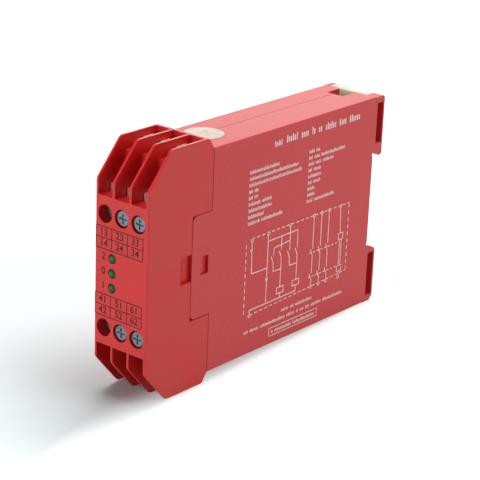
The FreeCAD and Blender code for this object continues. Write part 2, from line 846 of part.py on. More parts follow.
def make_cage(column, row, tier):
    """One folded steel cage: a ring round the wire, two ears above it, a screw bore and a solder tail."""
    body = doc.addObject("PartDesign::Body", f"cage_{row}_{tier}_{column}")
    up = ROWS[row]
    sheet_thick = size("cage_sheet")
    low = min(-size("cage_below") * up, size("cage_above") * up, key=lambda item: item.value)
    tall = size("cage_below") + size("cage_above")
    ring = new_sketch(body, "XY_Plane", "cage_ring", low)
    side = cage_width / 2
    rectangle(ring, -side, side, 0, size("cage_length"))
    rectangle(ring, sheet_thick - side, side - sheet_thick, sheet_thick, size("cage_length") - sheet_thick)
    pad(body, ring, tall)
    ears = new_sketch(body, "YZ_Plane", "cage_ears")
    rectangle(ears, 0, size("cage_ear_length"), (size("cage_above") - MERGE) * up, size("cage_ear_rise") * up)
    pad(body, ears, cage_width, middle=True)
    between = new_sketch(body, "YZ_Plane", "between_ears")
    rectangle(between, -OVERRUN, size("cage_ear_length") + OVERRUN, size("cage_above") * up,
              (size("cage_ear_rise") + OVERRUN) * up)
    pocket(body, between, cage_width - sheet_thick * 2, middle=True)
    bore = new_sketch(body, "XZ_Plane", "screw_bore")
    circle(bore, 0, 0, size("bore_width"))
    pocket(body, bore, sheet_thick + OVERRUN, back=True)
    across, depth, height = terminal_place(COLUMNS[column], row, tier)
    tail = new_sketch(body, "XY_Plane", "solder_tail", -sheet_thick / 2)
    rectangle(tail, -size("tail_width") / 2, size("tail_width") / 2,
              size("cage_length") - sheet_thick / 2, tail_end - depth)
    pad(body, tail, sheet_thick)
    place_terminal(body, column, row, tier)
    return body


def make_cages(row):
    """The six cages of one row, as one group of separate pieces."""
    group = doc.addObject("Part::Compound", f"cages_{row}")
    group.Label = f"cages_{row}"
    group.Links = [make_cage(column, row, tier) for tier in TIERS for column in COLUMNS]
    return group


def make_clamp(column, row, tier, inward):
    """One steel pressure plate that the screw pushes against the wire."""
    body = doc.addObject("PartDesign::Body", f"clamp_{row}_{tier}_{column}")
    up = ROWS[row]
    front = size("cage_sheet") + size("clamp_gap")
    plate = new_sketch(body, "XZ_Plane", "pressure_plate", -front)
    half = cage_width / 2 - size("cage_sheet") - size("clamp_gap")
    margin = size("clamp_margin")
    edges = [(margin - size("cage_below")) * up, (size("cage_above") - margin) * up]
    edges.sort(key=lambda item: item.value)
    rectangle(plate, -half, half, edges[0], edges[1])
    circle(plate, 0, 0, size("neck_bore"))
    pad(body, plate, size("clamp_sheet"), back=True)
    place_terminal(body, column, row, tier, inward)
    return body


def make_screw(column, row, tier, inward):
    """One terminal screw: bevelled head with a cross slot, shank, and a neck riveted into its plate."""
    body = doc.addObject("PartDesign::Body", f"screw_{row}_{tier}_{column}")
    slack = size("rivet_slack")
    head_rear = -(size("clamp_travel") + size("clamp_gap"))
    head_front = head_rear - size("head_thick")
    head = screw_hole / 2 - size("head_side_room")
    bevel = size("head_bevel")
    shank = size("shank_width") / 2
    neck = size("neck_width") / 2
    rivet = size("rivet_width") / 2
    shank_end = size("cage_sheet") + size("clamp_gap") - slack
    neck_end = shank_end + size("clamp_sheet") + slack * 2
    section = new_sketch(body, "XY_Plane", "screw_section")
    outline(section, [(0, head_front), (head - bevel, head_front), (head, head_front + bevel),
                      (head, head_rear), (shank, head_rear), (shank, shank_end), (neck, shank_end),
                      (neck, neck_end), (rivet, neck_end), (rivet, neck_end + size("rivet_thick")),
                      (0, neck_end + size("rivet_thick"))])
    turned = body.newObject("PartDesign::Revolution", "turned_screw")
    turned.Profile = section
    turned.ReferenceAxis = (section, ["V_Axis"])
    turned.Angle = 360
    finish_feature(body, turned, adds=True)
    slot = new_sketch(body, "XZ_Plane", "cross_slot", -head_front)
    arm = size("drive_length") / 2
    half = size("drive_width") / 2
    quarter = [(half, arm), (half, half), (arm, half)]
    outline(slot, quarter + [(across, -as_size(up)) for across, up in reversed(quarter)]
            + [(-as_size(across), -as_size(up)) for across, up in quarter]
            + [(-as_size(across), up) for across, up in reversed(quarter)])
    pocket(body, slot, size("drive_depth"), back=True)
    place_terminal(body, column, row, tier, inward)
    return body


def screwed_in(column):
    """How far a column's screws are turned in: the left-hand ones fully, the others not at all."""
    return size("clamp_travel") if column == "left" else None


# ---------------------------------------------------------------- lamps

def make_lamp(step, name):
    """One 3 mm indicator lamp: round-nosed lens with its rim, on two straight leads."""
    body = doc.addObject("PartDesign::Body", name)
    radius = size("lamp_width") / 2
    nose = -size("lamp_proud")
    tail = size("lamp_length") - size("lamp_proud")
    rim = size("lamp_rim_width") / 2
    section = new_sketch(body, "XY_Plane", "lens_section")
    rim_front = tail - size("lamp_rim_thick")
    points = [(radius, nose + radius), (radius, rim_front), (rim, rim_front), (rim, tail), (0, tail),
              (0, nose)]
    points = [(as_size(across), as_size(up)) for across, up in points]
    count = len(points)
    for place in range(count - 1):
        start, end = points[place], points[place + 1]
        section.addGeometry(Part.LineSegment(Vector(start[0].value, start[1].value, 0),
                                             Vector(end[0].value, end[1].value, 0)))
    centre = Vector(0, (nose + radius).value, 0)
    arc = section.addGeometry(Part.ArcOfCircle(Part.Circle(centre, Vector(0, 0, 1), radius.value),
                                               -math.pi / 2, 0))
    for place in range(count - 2):
        section.addConstraint(Sketcher.Constraint("Coincident", place, 2, place + 1, 1))
    section.addConstraint(Sketcher.Constraint("Coincident", count - 2, 2, arc, 1))
    section.addConstraint(Sketcher.Constraint("Coincident", arc, 2, 0, 1))
    for place in range(count - 1):
        hold(section, "DistanceX", place, 1, points[place][0])
        hold(section, "DistanceY", place, 1, points[place][1])
    hold(section, "DistanceX", arc, 3, 0)
    hold(section, "DistanceY", arc, 1, nose)
    lens = body.newObject("PartDesign::Revolution", "lens")
    lens.Profile = section
    lens.ReferenceAxis = (section, ["V_Axis"])
    lens.Angle = 360
    finish_feature(body, lens, adds=True)
    leads = new_sketch(body, "XZ_Plane", "leads", -(tail - MERGE))
    half = size("lead_width") / 2
    for side in (-1, 1):
        middle = size("lead_pitch") / 2 * side
        rectangle(leads, middle - half, middle + half, -half, half)
    pad(body, leads, tail_end - tail, back=True)
    body.setExpression("Placement.Base.x", (-size("lamp_offset")).text)
    body.setExpression("Placement.Base.y", (-size("seat_depth")).text)
    body.setExpression("Placement.Base.z", (size("lamp_pitch") * step - size("rail_above_middle")).text)
    return body


# ---------------------------------------------------------------- boards and what they carry

def make_front_board():
    """The upright board behind the terminal blocks, slotted for the cages' tails and bored for the lamps."""
    body = new_body("front_board")
    sheet_outline = new_sketch(body, "XZ_Plane", "front_board_outline", -front_board_face)
    half_board = cavity_half_width - size("front_board_side_room")
    half_tall = lip_low - size("front_board_end_room")
    rectangle(sheet_outline, -half_board, half_board, -half_tall, half_tall)
    pad(body, sheet_outline, size("board_thick"), back=True)
    room = size("solder_room")
    slots = new_sketch(body, "XZ_Plane", "tail_slots", -front_board_face)
    for row in ROWS:
        for tier in TIERS:
            across, depth, height = terminal_place(-1, row, tier)
            half = size("tail_width") / 2 + room
            thick = size("cage_sheet") / 2 + room
            rectangle(slots, across - half, across + half, height - thick, height + thick)
    cut = pocket(body, slots, size("board_thick") + OVERRUN, back=True)
    repeat_along(body, "X_Axis", [cut], len(COLUMNS), terminal_pitch * 2)
    holes = new_sketch(body, "XZ_Plane", "lead_holes", -front_board_face)
    half = size("lead_width") / 2 + room
    for step in (-1, 0, 1):
        for side in (-1, 1):
            across = size("lead_pitch") / 2 * side - size("lamp_offset")
            height = size("lamp_pitch") * step
            rectangle(holes, across - half, across + half, height - half, height + half)
    pocket(body, holes, size("board_thick") + OVERRUN, back=True)
    return body


def make_main_board():
    """The large board along the left half of the case, lying on its ledges."""
    body = new_body("main_board")
    outline_sketch = new_sketch(body, "YZ_Plane", "main_board_outline", board_left)
    rectangle(outline_sketch, board_front, board_rear, -board_half, board_half)
    pad(body, outline_sketch, size("board_thick"))
    return body


def make_header():
    """The angled pin strip that joins the two boards."""
    body = new_body("board_header")
    outermost_lead = size("lamp_offset") + size("lead_pitch") / 2 + size("lead_width") / 2
    free_face = -(outermost_lead + size("header_clear"))
    rear_of_front_board = front_board_face + size("board_thick")
    strip = new_sketch(body, "XY_Plane", "header_strip", -size("header_length") / 2)
    rectangle(strip, board_face, free_face, rear_of_front_board,
              rear_of_front_board + size("header_depth"))
    pad(body, strip, size("header_length"))
    return body


def make_relay(name, up):
    """One sealed relay with guided contacts, standing on the main board."""
    body = new_body(name)
    block = new_sketch(body, "YZ_Plane", "relay_outline", board_face)
    rear = board_rear - size("relay_rear_room")
    front = rear - (board_rear - board_front) * size("relay_length_share")
    middle = board_half * size("relay_spread_share") * (2 * up)
    half = board_half * size("relay_height_share")
    rectangle(block, front, rear, middle - half, middle + half)
    pad(body, block, part_height)
    top = (board_face + part_height).value

    def rounded(edge):
        along = runs_along(edge, Vector(1, 0, 0))
        return along or all(abs(vertex.X - top) < 1e-6 for vertex in edge.Vertexes)
    round_edges(body, size("relay_round"), rounded, "relay_rounds")
    return body


def make_capacitors():
    """Two can capacitors standing on the main board, each with the crimp above its base."""
    cans = []
    for row, up in ROWS.items():
        body = doc.addObject("PartDesign::Body", f"capacitor_{row}")
        radius = size("capacitor_width") / 2
        edge = size("can_edge")
        start = size("crimp_start")
        width = size("crimp_width")
        section = new_sketch(body, "XY_Plane", "can_section")
        outline(section, [(0, 0), (0, radius - edge), (edge, radius), (start, radius),
                          (start + width / 2, radius - size("crimp_depth")), (start + width, radius),
                          (part_height - edge, radius), (part_height, radius - edge), (part_height, 0)])
        can = body.newObject("PartDesign::Revolution", "can")
        can.Profile = section
        can.ReferenceAxis = (section, ["H_Axis"])
        can.Angle = 360
        finish_feature(body, can, adds=True)
        depth = board_front + size("capacitor_behind") - size("seat_depth")
        height = (board_half - size("capacitor_below_edge")) * up - size("rail_above_middle")
        body.setExpression("Placement.Base.x", board_face.text)
        body.setExpression("Placement.Base.y", depth.text)
        body.setExpression("Placement.Base.z", height.text)
        cans.append(body)
    group = doc.addObject("Part::Compound", "capacitors")
    group.Links = cans
    return group


def make_fuse():
    """The resettable fuse, a round disc standing on its edge on the main board."""
    body = new_body("resettable_fuse")
    disc = new_sketch(body, "XZ_Plane", "fuse_disc", -(board_front + size("fuse_behind")))
    height = board_half - size("fuse_below_edge")
    circle(disc, board_face + size("fuse_width") / 2, height, size("fuse_width"))
    pad(body, disc, size("fuse_thick"), back=True)
    return body


def add_legs(body, front, low_end):
    """Two rows of bent legs on a chip whose case starts at front and at the height low_end."""
    sheet_half = size("pin_sheet") / 2
    middle = board_face + size("chip_standoff") + size("chip_thick") / 2
    centre = front + size("chip_width") / 2
    near = size("chip_width") / 2 - size("pin_root")
    far = size("chip_width") / 2 + size("pin_reach")
    legs = new_sketch(body, "XY_Plane", "chip_legs", low_end + size("pin_start"))
    rectangle(legs, middle - sheet_half, middle + sheet_half, centre - far, centre - near)
    rectangle(legs, middle - sheet_half, middle + sheet_half, centre + near, centre + far)
    shoulders = pad(body, legs, size("pin_width"))
    feet = new_sketch(body, "XY_Plane", "chip_feet", low_end + size("pin_start"))
    inside = far - size("pin_sheet")
    rectangle(feet, board_face, middle + sheet_half, centre - far, centre - inside)
    rectangle(feet, board_face, middle + sheet_half, centre + inside, centre + far)
    uprights = pad(body, feet, size("pin_width"))
    repeat_along(body, "Z_Axis", [shoulders, uprights], LEGS_IN_ROW, size("pin_pitch") * (LEGS_IN_ROW - 1))


def make_chips():
    """Two logic chips in dual in-line cases, each with two rows of legs."""
    chips = []
    for row, up in ROWS.items():
        body = new_body(f"chip_{row}")
        low_end = size("chip_spread") * up - size("chip_length") / 2
        base = board_face + size("chip_standoff")
        middle = base + size("chip_thick") / 2
        top = base + size("chip_thick")
        front = board_front + size("chip_behind")
        rear = front + size("chip_width")
        draft = size("chip_draft")
        case = new_sketch(body, "XY_Plane", "chip_case", low_end)
        outline(case, [(base, front + draft), (middle, front), (top, front + draft), (top, rear - draft),
                       (middle, rear), (base, rear - draft)])
        pad(body, case, size("chip_length"))
        add_legs(body, front, low_end)
        chips.append(body)
    group = doc.addObject("Part::Compound", "logic_chips")
    group.Links = chips
    return group


def make_resistors():
    """A row of power resistors lying on the main board, each waisted between its end caps."""
    pieces = []
    for number in range(RESISTOR_COUNT):
        body = new_body(f"resistor_{number + 1}")
        height = size("resistor_pitch") * (number - (RESISTOR_COUNT - 1) / 2)
        section = new_sketch(body, "XY_Plane", "resistor_section", height)
        radius = size("resistor_width") / 2
        front = board_front + size("resistor_behind")
        rear = front + size("resistor_length")
        middle = board_face + radius
        outside = middle + radius
        waist = outside - size("resistor_waist")
        cap = size("resistor_cap")
        outline(section, [(middle, front), (outside, front), (outside, front + cap), (waist, front + cap),
                          (waist, rear - cap), (outside, rear - cap), (outside, rear), (middle, rear)])
        turned = body.newObject("PartDesign::Revolution", "resistor_body")
        turned.Profile = section
        turned.ReferenceAxis = (section, ["Edge8"])
        turned.Angle = 360
        finish_feature(body, turned, adds=True)
        pieces.append(body)
    group = doc.addObject("Part::Compound", "resistors")
    group.Links = pieces
    return group


def make_seal():
    """The round paper seal stuck across the seam on the roof."""
    disc = doc.addObject("Part::Cylinder", "seam_seal")
    disc.setExpression("Radius", (size("seal_width") / 2).text)
    disc.setExpression("Height", size("seal_thick").text)
    disc.setExpression("Placement.Base.x", (-size("seal_offset")).text)
    seal_middle = size("hood_depth") + size("seal_behind_hood")
    disc.setExpression("Placement.Base.y", (seal_middle - size("seat_depth")).text)
    disc.setExpression("Placement.Base.z", (half_height - size("rail_above_middle")).text)
    return disc


# ---------------------------------------------------------------- the whole relay

def make_relay_module():
    """Every piece of the relay, each an object of the document."""
    pieces = [make_hood(), *make_case(), make_latch(), make_latch_spring()]
    pieces += [make_cages(row) for row in ROWS]
    for row in ROWS:
        for tier in TIERS:
            for column in COLUMNS:
                inward = screwed_in(column)
                pieces.append(make_clamp(column, row, tier, inward))
                pieces.append(make_screw(column, row, tier, inward))
    pieces += [make_lamp(1, "lamp_upper"), make_lamp(0, "lamp_middle"), make_lamp(-1, "lamp_lower")]
    pieces += [make_front_board(), make_main_board(), make_header()]
    pieces += [make_relay("relay_upper", 1), make_relay("relay_lower", -1)]
    pieces += [make_capacitors(), make_fuse(), make_chips(), make_resistors(), make_seal()]
    return pieces


def check_document(pieces):
    """Stops if any object failed or any piece is empty or invalid."""
    for item in doc.Objects:
        if "Invalid" in item.State or "Error" in item.State:
            raise RuntimeError(f"{item.Name} failed: {item.State}")
    for piece in pieces:
        if piece.Shape.isNull() or not piece.Shape.isValid():
            raise RuntimeError(f"{piece.Label} has no valid shape")


def write_pieces(pieces):
    """One STEP file for each piece, named after it."""
    os.makedirs("parts", exist_ok=True)
    for piece in pieces:
        piece.Shape.exportStep(f"parts/{piece.Label}.step")
        print(f"{piece.Label}: {len(piece.Shape.Solids)} solids, {piece.Shape.Volume / 1000:.3f} cm3")


pieces = make_relay_module()
doc.recompute()
check_document(pieces)
write_pieces(pieces)
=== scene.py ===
# %% [markdown]
# # A slim relay module for a mounting rail
# The module is a narrow red plastic case with screw terminals behind a stepped hood at the front and a
# cream latch at the back. Its shape comes finished from the CAD model. Here it gets its plastics, metals,
# prints and light. The first step loads the CAD model and notes its size, so that the size can be compared
# at the end.

# %% Load the CAD model
import math

import bpy
from mathutils import Matrix, Vector


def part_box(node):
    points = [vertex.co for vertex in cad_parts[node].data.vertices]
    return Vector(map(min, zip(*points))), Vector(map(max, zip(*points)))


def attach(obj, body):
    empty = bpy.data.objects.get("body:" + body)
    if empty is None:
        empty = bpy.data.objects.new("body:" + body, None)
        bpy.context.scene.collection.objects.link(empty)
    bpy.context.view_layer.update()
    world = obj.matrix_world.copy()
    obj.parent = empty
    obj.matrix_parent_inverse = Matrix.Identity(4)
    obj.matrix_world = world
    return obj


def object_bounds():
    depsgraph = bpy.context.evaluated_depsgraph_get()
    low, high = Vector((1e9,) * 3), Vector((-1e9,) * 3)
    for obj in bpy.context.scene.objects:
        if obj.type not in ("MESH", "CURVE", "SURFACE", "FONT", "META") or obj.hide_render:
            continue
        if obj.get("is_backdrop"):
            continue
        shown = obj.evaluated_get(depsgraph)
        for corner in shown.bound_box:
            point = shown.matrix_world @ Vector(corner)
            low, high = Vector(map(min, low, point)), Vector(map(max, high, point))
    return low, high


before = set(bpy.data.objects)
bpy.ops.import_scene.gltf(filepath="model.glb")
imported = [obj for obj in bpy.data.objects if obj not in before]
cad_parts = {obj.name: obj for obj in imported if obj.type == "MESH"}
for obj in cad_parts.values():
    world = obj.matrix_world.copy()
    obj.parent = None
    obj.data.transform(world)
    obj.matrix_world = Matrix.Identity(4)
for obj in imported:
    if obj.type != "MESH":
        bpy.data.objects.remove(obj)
cad_low, cad_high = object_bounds()
MM = 0.001
print("nodes:", len(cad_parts), "size in mm:", [round(side / MM, 1) for side in cad_high - cad_low])

# %% [markdown]
# Places on the module are easier to think of in the maker's way: how far behind the front face, and how far
# above the foot of the case. This cell turns such a pair into the CAD frame, whose origin is on the rail
# seat.

# %% Places on the module
case_low, case_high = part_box("case_right")
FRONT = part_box("front_hood")[0].y
FOOT = case_low.z
RIGHT_SIDE = case_high.x


def place(across, behind_front, above_foot):
    """A point of the module from millimetres across, behind the front face and above the foot."""
    return Vector((across * MM, FRONT + behind_front * MM, FOOT + above_foot * MM))


print("front face at", round(FRONT / MM, 2), "mm, foot at", round(FOOT / MM, 2), "mm")

# %% [markdown]
# The camera stands to the front right and looks down a little. A long lens keeps the case's edges nearly
# parallel. The camera is built from three directions: where it looks, its right, and its up, the last two
# turned a little about the first, as when a hand-held camera leans.

# %% Camera
LOOK_AROUND = math.radians(39.44)
LOOK_DOWN = math.radians(20.45)
LEAN = math.radians(2.36)
EYE = Vector((361.1, -498.2, 206.8)) * MM
LENS, SENSOR_WIDTH = 135.4, 36.0
FRAMING = (0.0060, 0.0121)

toward = Vector((-math.sin(LOOK_AROUND) * math.cos(LOOK_DOWN),
                 math.cos(LOOK_AROUND) * math.cos(LOOK_DOWN),
                 -math.sin(LOOK_DOWN)))
level_right = toward.cross(Vector((0, 0, 1))).normalized()
level_up = level_right.cross(toward)
right = level_right * math.cos(LEAN) + level_up * math.sin(LEAN)
up = right.cross(toward)

camera_data = bpy.data.cameras.new("camera")
camera_data.lens = LENS
camera_data.sensor_width = SENSOR_WIDTH
camera_data.shift_x, camera_data.shift_y = FRAMING
camera = bpy.data.objects.new("camera", camera_data)
bpy.context.scene.collection.objects.link(camera)
turn = Matrix((right, up, -toward)).transposed().to_4x4()
camera.matrix_world = Matrix.Translation(EYE) @ turn
bpy.context.scene.camera = camera
print("camera at", [round(value / MM) for value in EYE])

# %% [markdown]
# The module stands on the hood's lower overhang and on the rear corner of its foot, so it leans back by two
# degrees. The floor is laid through those two lines. It could be a level plane with the module turned, but
# the CAD pieces stay where they are, so the floor leans instead.

# %% Floor
def lowest_line(node):
    """Depth and height of the rear end of a node's lowest face."""
    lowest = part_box(node)[0].z
    flat_within = 0.01 * MM
    depths = [vertex.co.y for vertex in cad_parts[node].data.vertices
              if vertex.co.z < lowest + flat_within]
    return max(depths), lowest


hood_contact, hood_foot = lowest_line("front_hood")
rear_contact, rear_foot = lowest_line("case_right")
floor_lean = math.atan2(rear_foot - hood_foot, rear_contact - hood_contact)
print("floor leans by", round(math.degrees(floor_lean), 2), "degrees")

FLOOR_SIZE, FLOOR_CELLS = 6.0, 8
bpy.ops.object.select_all(action="DESELECT")
bpy.ops.mesh.primitive_grid_add(x_subdivisions=FLOOR_CELLS, y_subdivisions=FLOOR_CELLS, size=FLOOR_SIZE)
floor = bpy.context.object
floor.name = "floor"
leaning = Matrix.Rotation(floor_lean, 4, "X")
floor.data.transform(Matrix.Translation((0, hood_contact, hood_foot)) @ leaning)
floor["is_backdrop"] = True

# %% [markdown]
# Every finish below starts in the same way, so the start is one helper. It makes a material with its shader
# and the coordinates of the object, which stay with the plastic when a piece moves. Most finishes then need
# a cloud pattern of some size. A stretch makes the clouds long, for marks that run one way.

# %% Start of a finish
def new_finish(name, colour, roughness, metallic=0.0):
    """A material, its node tree, its shader and its object coordinates."""
    material = bpy.data.materials.new(name)
    material.use_nodes = True
    tree = material.node_tree
    shader = tree.nodes["Principled BSDF"]
    shader.inputs["Base Color"].default_value = (*colour, 1)
    shader.inputs["Roughness"].default_value = roughness
    shader.inputs["Metallic"].default_value = metallic
    coordinates = tree.nodes.new("ShaderNodeTexCoord")
    return material, tree, shader, coordinates.outputs["Object"]


def noise(tree, coordinates, size_mm, detail=2.0, stretch=(1, 1, 1)):
    """A cloud pattern whose spots are about size_mm across."""
    mapping = tree.nodes.new("ShaderNodeMapping")
    mapping.inputs["Scale"].default_value = stretch
    tree.links.new(coordinates, mapping.inputs["Vector"])
    cloud = tree.nodes.new("ShaderNodeTexNoise")
    cloud.inputs["Scale"].default_value = 1 / (size_mm * MM)
    cloud.inputs["Detail"].default_value = detail
    tree.links.new(mapping.outputs["Vector"], cloud.inputs["Vector"])
    return cloud.outputs["Fac"]


# %% [markdown]
# Colours, gloss and bumps follow a pattern. A cloud's values lie mostly between 0.3 and 0.7, so the colours
# and the gloss are spread over that stretch, where values from 0 to 1 would leave them nearly flat.

# %% Colour, gloss and bumps
CLOUD_LOW, CLOUD_HIGH = 0.3, 0.7


def tint(tree, shader, pattern, dark, light, low=CLOUD_LOW, high=CLOUD_HIGH):
    """Colours the shader from dark to light along the pattern."""
    ramp = tree.nodes.new("ShaderNodeValToRGB")
    ramp.color_ramp.elements[0].position = low
    ramp.color_ramp.elements[1].position = high
    ramp.color_ramp.elements[0].color = (*dark, 1)
    ramp.color_ramp.elements[1].color = (*light, 1)
    tree.links.new(pattern, ramp.inputs["Fac"])
    tree.links.new(ramp.outputs["Color"], shader.inputs["Base Color"])


def relief(tree, shader, pattern, depth_mm, strength, below=None):
    """Bumps of the given depth, on top of an earlier relief if there is one."""
    bump = tree.nodes.new("ShaderNodeBump")
    bump.inputs["Distance"].default_value = depth_mm * MM
    bump.inputs["Strength"].default_value = strength
    tree.links.new(pattern, bump.inputs["Height"])
    if below is not None:
        tree.links.new(below.outputs["Normal"], bump.inputs["Normal"])
    tree.links.new(bump.outputs["Normal"], shader.inputs["Normal"])
    return bump


def gloss(tree, shader, pattern, smooth, rough):
    """Roughness between two values along the pattern."""
    spread = tree.nodes.new("ShaderNodeMapRange")
    spread.inputs["From Min"].default_value = CLOUD_LOW
    spread.inputs["From Max"].default_value = CLOUD_HIGH
    spread.inputs["To Min"].default_value = smooth
    spread.inputs["To Max"].default_value = rough
    tree.links.new(pattern, spread.inputs["Value"])
    tree.links.new(spread.outputs["Result"], shader.inputs["Roughness"])


# %% [markdown]
# A finish goes on whole pieces of the CAD model, by their names. Their shapes are left as they are.

# %% Where a finish goes
def finish_nodes(material, *names):
    """Puts a finish on CAD pieces."""
    for name in names:
        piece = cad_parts[name]
        piece.data.materials.clear()
        piece.data.materials.append(material)
    print(material.name, "on", len(names), "pieces")


# %% [markdown]
# The hood is moulded in red plastic: nearly smooth, with a soft sheen. A faint cloud in the colour and in
# the gloss, and very fine pores in the surface, keep it from looking painted.

# %% Hood plastic
hood_plastic, tree, shader, coordinates = new_finish("red_hood_plastic", (0.58, 0.007, 0.006), 0.45)
shader.inputs["Specular IOR Level"].default_value = 0.5
clouds = noise(tree, coordinates, 9.0, detail=3)
tint(tree, shader, clouds, (0.555, 0.006, 0.005), (0.605, 0.009, 0.007))
gloss(tree, shader, clouds, 0.40, 0.50)
pores = noise(tree, coordinates, 0.5)
relief(tree, shader, pores, 0.006, 0.4)
finish_nodes(hood_plastic, "front_hood")

# %% [markdown]
# The case halves are moulded with a fine even grain. The grain scatters the light, so the same plastic
# looks a little paler and mottled. There are two sizes of grain: the coarse one colours the plastic, and
# both make the relief, one on top of the other.

# %% Case plastic
case_plastic, tree, shader, coordinates = new_finish("red_case_plastic", (0.57, 0.019, 0.019), 0.55)
shader.inputs["Specular IOR Level"].default_value = 0.6
coarse = noise(tree, coordinates, 0.7, detail=3)
fine = noise(tree, coordinates, 0.3)
tint(tree, shader, coarse, (0.545, 0.015, 0.016), (0.595, 0.034, 0.035))
first = relief(tree, shader, coarse, 0.012, 0.5)
relief(tree, shader, fine, 0.01, 0.8, below=first)
finish_nodes(case_plastic, "case_right", "case_left")

# %% [markdown]
# The latch is a cream plastic that lets light in, so even the face inside its well is pale. A paler colour
# would only bleach the top, so the light is let some way into the plastic instead.

# %% Latch plastic
LIGHT_REACH = 10
cream_plastic, tree, shader, coordinates = new_finish("cream_plastic", (0.55, 0.525, 0.40), 0.45)
shader.inputs["Subsurface Weight"].default_value = 1.0
shader.inputs["Subsurface Radius"].default_value = (1.0, 1.0, 0.8)
shader.inputs["Subsurface Scale"].default_value = LIGHT_REACH * MM
tint(tree, shader, noise(tree, coordinates, 5.0), (0.51, 0.485, 0.36), (0.59, 0.565, 0.44))
relief(tree, shader, noise(tree, coordinates, 0.4), 0.008, 0.5)
finish_nodes(cream_plastic, "rail_latch")

# %% [markdown]
# The terminal cages and clamp plates are plated steel: bright, with fine rolling marks along the sheet. The
# marks are a cloud pattern drawn out long, used for both gloss and bumps.

# %% Plated steel
plated_steel, tree, shader, coordinates = new_finish("plated_steel", (0.86, 0.86, 0.84), 0.35, 0.85)
rolling = noise(tree, coordinates, 0.6, stretch=(1, 1, 0.12))
gloss(tree, shader, rolling, 0.28, 0.45)
relief(tree, shader, rolling, 0.01, 0.4)
terminals = [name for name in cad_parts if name.startswith(("cages_", "clamp_"))]
finish_nodes(plated_steel, *terminals)

# %% [markdown]
# The screws are a darker, bluish zinc with small blotches in colour and gloss, and the spring is plain
# steel wire. Both are metals, so their colour is the colour of what they mirror, and darker than it looks.

# %% Screws and spring
screw_steel, tree, shader, coordinates = new_finish("screw_steel", (0.17, 0.18, 0.205), 0.4, 0.85)
marks = noise(tree, coordinates, 0.8, detail=4)
tint(tree, shader, marks, (0.12, 0.125, 0.145), (0.21, 0.22, 0.25))
gloss(tree, shader, marks, 0.32, 0.5)
relief(tree, shader, marks, 0.01, 0.4)
finish_nodes(screw_steel, *[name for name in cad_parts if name.startswith("screw_")])

spring_steel, tree, shader, coordinates = new_finish("spring_steel", (0.5, 0.5, 0.5), 0.35, 1.0)
gloss(tree, shader, noise(tree, coordinates, 0.5), 0.28, 0.42)
finish_nodes(spring_steel, "latch_spring")

# %% [markdown]
# The lamps are moulded in clear green resin. A lamp that is off looks dark inside and carries a bright
# highlight, so the green is deep and the surface is very smooth. Real clear resin would need slow rays
# through it and a part to see inside, so the lens is a plain smooth plastic.

# %% Lamp lenses
green_lens, tree, shader, coordinates = new_finish("green_lens", (0.0, 0.08, 0.03), 0.08)
shader.inputs["Specular IOR Level"].default_value = 0.24
tint(tree, shader, noise(tree, coordinates, 1.5), (0.0, 0.055, 0.02), (0.002, 0.13, 0.05))
finish_nodes(green_lens, "lamp_upper", "lamp_middle", "lamp_lower")

# %% [markdown]
# The boards and what stands on them are inside, but the exported model holds them, so they get their own
# finishes too: green laminate, pale relay covers, dark sleeves, and coated fuse and resistors. Each is a
# pattern of two near tones with a light relief, so one helper and a list are enough.

# %% Finishes inside the case
def simple_finish(name, dark, light, roughness, size_mm, *nodes):
    """A finish of two near tones with a light relief, for small inside pieces."""
    material, tree, shader, coordinates = new_finish(name, light, roughness)
    pattern = noise(tree, coordinates, size_mm, detail=3)
    tint(tree, shader, pattern, dark, light)
    relief(tree, shader, pattern, 0.01, 0.4)
    finish_nodes(material, *nodes)


INSIDE_FINISHES = (
    ("board_laminate", (0.02, 0.16, 0.06), (0.03, 0.22, 0.09), 0.4, 0.7, "front_board", "main_board"),
    ("relay_plastic", (0.66, 0.66, 0.62), (0.74, 0.74, 0.70), 0.45, 3, "relay_upper", "relay_lower"),
    ("black_plastic", (0.015, 0.015, 0.016), (0.03, 0.03, 0.032), 0.5, 0.8, "logic_chips", "board_header"),
    ("capacitor_sleeve", (0.02, 0.025, 0.07), (0.03, 0.04, 0.11), 0.35, 2, "capacitors"),
    ("fuse_coating", (0.66, 0.42, 0.05), (0.78, 0.52, 0.08), 0.4, 1, "resettable_fuse"),
    ("resistor_coating", (0.22, 0.36, 0.38), (0.30, 0.46, 0.48), 0.5, 0.8, "resistors"))
for finish in INSIDE_FINISHES:
    simple_finish(*finish)

# %% [markdown]
# The seal on the roof is a disc of coated paper, a little yellowed and rubbed. Its mottling is a cloud
# pattern with soft darker patches.

# %% Seal
seal_paper, tree, shader, coordinates = new_finish("seal_paper", (0.76, 0.60, 0.50), 0.6)
mottling = noise(tree, coordinates, 3.0, detail=5)
tint(tree, shader, mottling, (0.55, 0.50, 0.40), (0.80, 0.66, 0.56), 0.35, 0.65)
relief(tree, shader, noise(tree, coordinates, 0.6), 0.02, 0.4)
finish_nodes(seal_paper, "seam_seal")

# %% [markdown]
# The prints are flat ink. A print is drawn as thin bars, each a plane added in edit mode and stretched to
# its size, because planes stay sharp from close by and need no picture. The whole print then gets a very
# small thickness and lies on the plastic. Two faces are printed on: along the side a place is a depth,
# along the front it is a width, so the pen is told which face it draws on.

# %% A pen for prints
INK = 0.03
LEVEL_WITHIN = 1e-6


